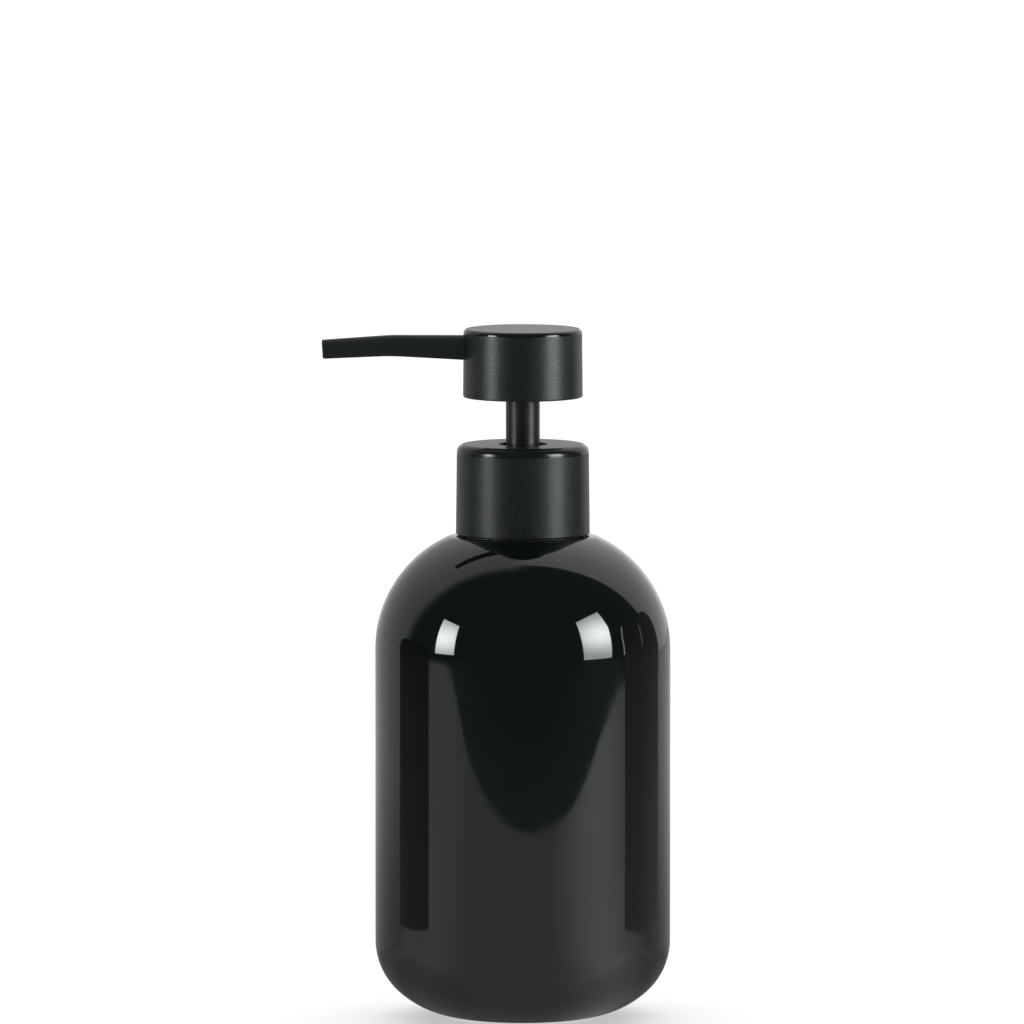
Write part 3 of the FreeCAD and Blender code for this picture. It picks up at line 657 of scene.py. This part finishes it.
def make_world():
    """Pale surroundings: bright walls behind the object, a dim room in front, plain white to the camera."""
    world = bpy.data.worlds.new("studio")
    scene.world = world
    world.use_nodes = True
    tree = world.node_tree
    tree.nodes.clear()
    new, link = tree.nodes.new, tree.links.new
    calc = math_in(tree)
    coords = new("ShaderNodeTexCoord")
    split = new("ShaderNodeSeparateXYZ")
    link(coords.outputs["Generated"], split.inputs["Vector"])
    x, y, z = split.outputs

    def wall(lean, start, full, glow):
        return fade(tree, calc("ADD", y, calc("MULTIPLY", z, lean)), start, full, 0.0, glow)

    left_wall = wall(*WALL_LEFT)
    right_wall = wall(*WALL_RIGHT)
    higher = fade(tree, z, 0.3, 0.8, 1.0, WALL_HIGH_GAIN)
    to_right = fade(tree, x, *RIGHT_SIDE, 0.0, 1.0)
    to_left = calc("SUBTRACT", 1.0, to_right)
    near_table = fade(tree, z, 0.2, 0.6, 1.0, 0.0)
    behind = calc("MULTIPLY", fade(tree, y, 0.90, 0.985, 0.0, BEHIND_GLOW), near_table)
    walls = calc("ADD", calc("MULTIPLY", left_wall, to_left), calc("MULTIPLY", right_wall, to_right))
    walls = calc("MULTIPLY", walls, higher)
    near_floor = calc("MULTIPLY", to_right, fade(tree, z, 0.02, 0.12, 1.0, 0.0))
    low_right = calc("MULTIPLY", fade(tree, y, 0.17, 0.26, 0.0, LOW_RIGHT_GLOW), near_floor)
    walls = calc("MAXIMUM", walls, low_right)
    room = calc("ADD", calc("ADD", walls, behind), ROOM_GLOW)

    # Dim parts of the room are cooler than bright ones.
    lit = new("ShaderNodeBackground")
    link(room, lit.inputs["Strength"])
    tint = new("ShaderNodeMapRange")
    tint.data_type = "FLOAT_VECTOR"
    tint.inputs[9].default_value = ROOM_TINT[:3]
    tint.inputs[10].default_value = BRIGHT_TINT
    shares = new("ShaderNodeCombineXYZ")
    for socket in shares.inputs:
        link(calc("MULTIPLY", room, BRIGHT_SHARE), socket)
    link(shares.outputs["Vector"], tint.inputs["Vector"])
    link(tint.outputs["Vector"], lit.inputs["Color"])
    plain = new("ShaderNodeBackground")
    plain.inputs["Color"].default_value = (1, 1, 1, 1)
    path = new("ShaderNodeLightPath")
    mix = new("ShaderNodeMixShader")
    output = new("ShaderNodeOutputWorld")
    link(path.outputs["Is Camera Ray"], mix.inputs["Fac"])
    link(lit.outputs["Background"], mix.inputs[1])
    link(plain.outputs["Background"], mix.inputs[2])
    link(mix.outputs["Shader"], output.inputs["Surface"])


CAMERA_ELEVATION = 5.4          # degrees
CAMERA_DISTANCE = 3.5
CAMERA_AIM = (-2.75 * MM, 0, 129.0 * MM)
CAMERA_LENS = 485.0             # mm on a 36 mm sensor


def make_camera():
    """Long lens a little above the bottle's shoulder."""
    data = bpy.data.cameras.new("camera")
    data.lens = CAMERA_LENS
    data.sensor_width = 36.0
    data.clip_start = 0.1
    data.clip_end = 50.0
    camera = bpy.data.objects.new("camera", data)
    scene.collection.objects.link(camera)
    elevation = math.radians(CAMERA_ELEVATION)
    back = Vector((0, -math.cos(elevation), math.sin(elevation)))
    camera.location = Vector(CAMERA_AIM) + back * CAMERA_DISTANCE
    camera.rotation_mode = "QUATERNION"
    camera.rotation_quaternion = (-back).to_track_quat("-Z", "Y")
    scene.camera = camera


# ---- Build ----------------------------------------------------------------------------------------------
SATIN_TONES = ((0.0045, 0.0068, 0.0070), (0.0065, 0.0090, 0.0092))
# Painted light: the spout is the same satin black plastic as the head, given a lighter base colour so that
# its sides read lighter.
SPOUT_PAINTED_LIGHT_TONES = ((0.0135, 0.0165, 0.0168), (0.0160, 0.0190, 0.0193))
MOULDED_TONES = ((0.006, 0.007, 0.0075), (0.010, 0.011, 0.012))
HEAD_ROUNDS = ((0.1583, 0.1587, 0.36), (0.1746, 0.17565, 0.19))
COLLAR_ROUNDS = ((0.1440, 0.14634, 0.50),)
SATIN = satin_material("satin_black", SATIN_TONES, 0.22, 0.50, 0.36, rounds=HEAD_ROUNDS)
# The spout's lighter copy of the satin black, its extra lightness painted light.
SATIN_SPOUT_PAINTED_LIGHT = satin_material("satin_black_spout_painted_light", SPOUT_PAINTED_LIGHT_TONES, 0.30, 0.52, 0.06)
SATIN_COLLAR = satin_material("satin_black_collar", SATIN_TONES, 0.25, 0.50, 0.32, rounds=COLLAR_ROUNDS)
MOULDED = satin_material("moulded_black", MOULDED_TONES, 0.45, 0.55, 0.35, 0.00001)
NATURAL = natural_plastic("natural_plastic", (0.80, 0.81, 0.78), (0.72, 0.73, 0.70), 0.32)
SEAL = natural_plastic("seal_plastic", (0.86, 0.87, 0.85), (0.80, 0.81, 0.79), 0.40, 0.35)
STEEL = metal_material("ball_steel", (0.60, 0.61, 0.62), 0.06, (1, 1, 1), 0.0000003)

NODE_MATERIALS = {
    "base_pad": foam_material("pad_foam", (0.012, 0.012, 0.013), (0.035, 0.035, 0.037), 1500),
    "neck_gasket": foam_material("gasket_foam", (0.55, 0.55, 0.53), (0.74, 0.74, 0.72), 2200),
    "neck_insert": NATURAL,
    "threaded_cap": MOULDED,
    "collar_shell": SATIN_COLLAR,
    "pump_housing": NATURAL,
    "chaplet": MOULDED,
    "dip_tube": tube_material(),
    "inlet_ball": STEEL,
    "outlet_ball": STEEL,
    "ball_cage": NATURAL,
    "piston_seal": SEAL,
    "piston_core": NATURAL,
    "pump_stem": NATURAL,
    "stem_sleeve": SATIN,
    "head_shell": SATIN,
    "head_core": MOULDED,
    "spout_shell": SATIN_SPOUT_PAINTED_LIGHT,
    "spout_tube": MOULDED,
}
for node_name, node_material in NODE_MATERIALS.items():
    for node_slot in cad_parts[node_name].material_slots:
        node_slot.material = node_material

make_bottle()
make_spring()
make_camera()
make_studio()
make_world()
